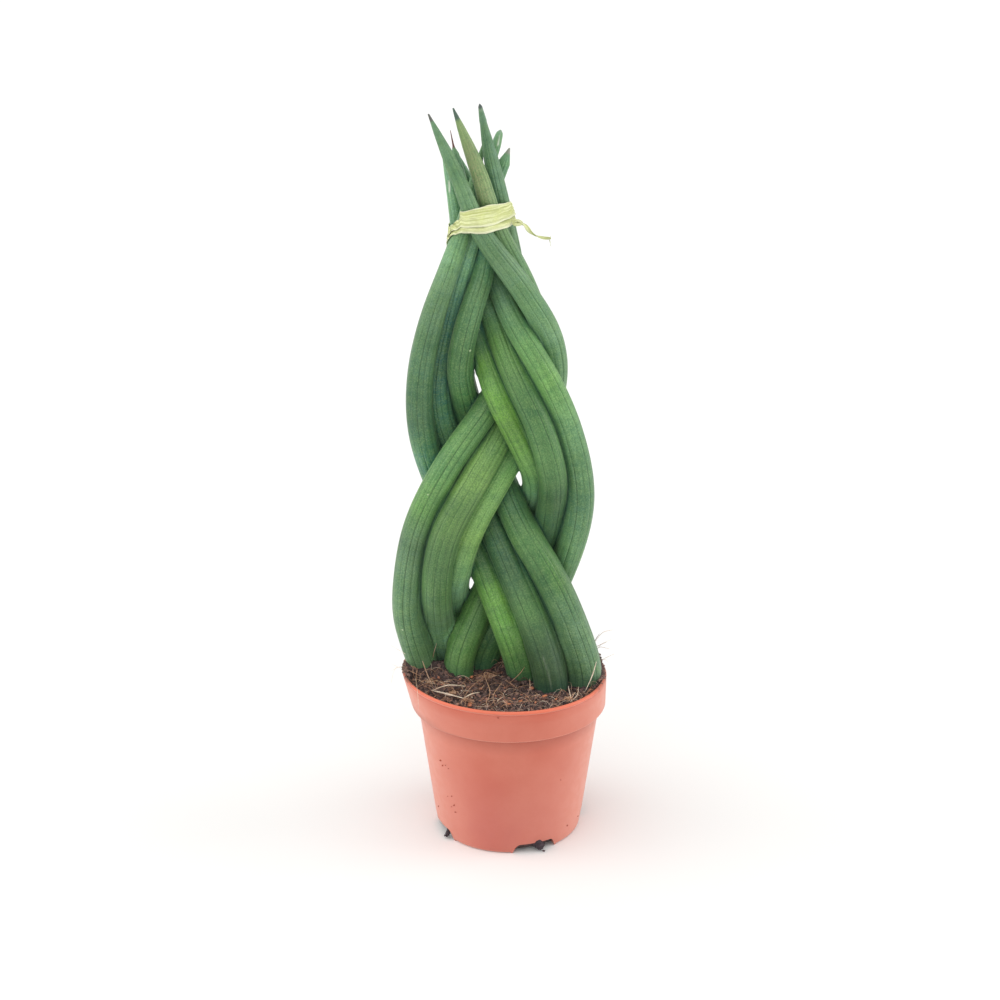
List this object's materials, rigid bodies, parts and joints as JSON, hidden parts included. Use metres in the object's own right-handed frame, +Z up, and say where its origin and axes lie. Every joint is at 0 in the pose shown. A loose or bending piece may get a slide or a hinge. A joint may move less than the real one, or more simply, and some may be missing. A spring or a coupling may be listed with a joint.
{
  "type": "cylindrical snake plant",
  "caption": "Potted cylindrical snake plant whose round, tapering leaves are plaited into a flat braid above a nursery pot and tied with raffia below their pointed tips.",
  "frame": {"origin": "middle of the pot's foot, on the surface that the plant stands on", "axes": "+Z up along the pot's axis; -Y towards the flat front of the plait; +X to the right as seen from the front"},
  "size_m": [0.1334, 0.12, 0.4371],
  "materials": {
    "pot": "satin terracotta-coloured plastic",
    "soil": "dark coir potting mix with chips and fibres",
    "leaf": "satin mid green, finely grooved along the leaf and faintly banded across",
    "bright_leaf": "satin yellower green, finely grooved along the leaf",
    "raffia": "dry pale raffia ribbon"
  },
  "bodies": {
    "root": {"pot": "pot", "soil": "soil", "leaf_a_1": "leaf", "leaf_a_2": "leaf", "leaf_a_3": "leaf", "leaf_b_1": "bright_leaf", "leaf_b_2": "leaf", "leaf_b_3": "leaf", "leaf_c_1": "bright_leaf", "leaf_c_2": "leaf", "leaf_c_3": "leaf", "tie": "raffia"}
  },
  "joints": []
}
